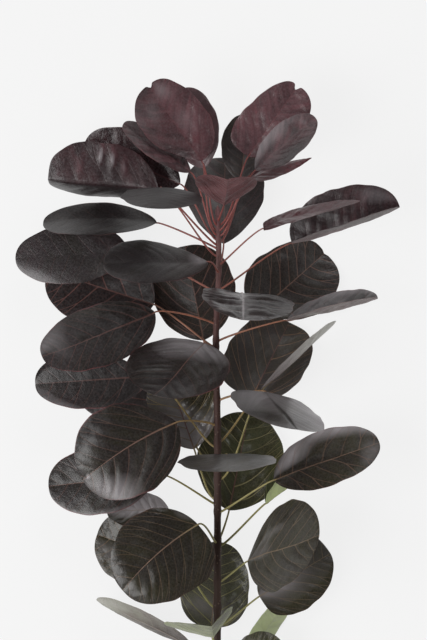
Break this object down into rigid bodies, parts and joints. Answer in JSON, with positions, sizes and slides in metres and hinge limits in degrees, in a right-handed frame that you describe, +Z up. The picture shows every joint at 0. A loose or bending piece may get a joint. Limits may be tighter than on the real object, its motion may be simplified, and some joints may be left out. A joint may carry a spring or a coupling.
{
  "type": "cut leafy shoot of a purple smoke bush",
  "caption": "Cut leafy shoot with one slim arched stem and oval dark purple leaves on slender stalks set alternately round it, lying down.",
  "frame": {"origin": "middle of the shoot's underside: the middle of its box in X and Y, on the table that it lies on", "axes": "+Y along the stem from its cut end to its tip, +X to the right seen from above with the tip up, +Z up from the table"},
  "size_m": [0.245, 0.4174, 0.112],
  "materials": {
    "bark": "smooth dark red-brown young bark with pale dots",
    "young_leaf": "thin reddish purple leaf, satin, with fine raised veins",
    "mature_leaf": "dark purple-grey leaf with a waxy grey sheen and pinkish veins"
  },
  "bodies": {
    "root": {"stem": "bark", "leaf_01": "young_leaf", "leaf_02": "young_leaf", "leaf_03": "young_leaf", "leaf_04": "young_leaf", "leaf_05": "young_leaf", "leaf_06": "young_leaf", "leaf_07": "mature_leaf", "leaf_08": "young_leaf", "leaf_09": "young_leaf", "leaf_10": "young_leaf", "leaf_11": "young_leaf", "leaf_12": "young_leaf", "leaf_13": "mature_leaf", "leaf_14": "young_leaf", "leaf_15": "young_leaf", "leaf_16": "mature_leaf", "leaf_17": "mature_leaf", "leaf_18": "mature_leaf", "leaf_19": "mature_leaf", "leaf_20": "mature_leaf", "leaf_21": "mature_leaf", "leaf_22": "mature_leaf", "leaf_23": "mature_leaf", "leaf_24": "mature_leaf", "leaf_25": "mature_leaf", "leaf_26": "mature_leaf", "leaf_27": "mature_leaf", "leaf_28": "mature_leaf", "leaf_29": "mature_leaf", "leaf_30": "mature_leaf", "leaf_31": "mature_leaf", "leaf_32": "mature_leaf", "leaf_33": "mature_leaf", "leaf_34": "mature_leaf", "leaf_35": "mature_leaf", "leaf_36": "mature_leaf", "leaf_37": "mature_leaf", "leaf_38": "mature_leaf", "leaf_39": "mature_leaf", "leaf_40": "mature_leaf", "leaf_41": "mature_leaf", "leaf_42": "mature_leaf", "leaf_43": "mature_leaf", "leaf_44": "mature_leaf", "leaf_45": "mature_leaf", "leaf_46": "mature_leaf"}
  },
  "joints": []
}
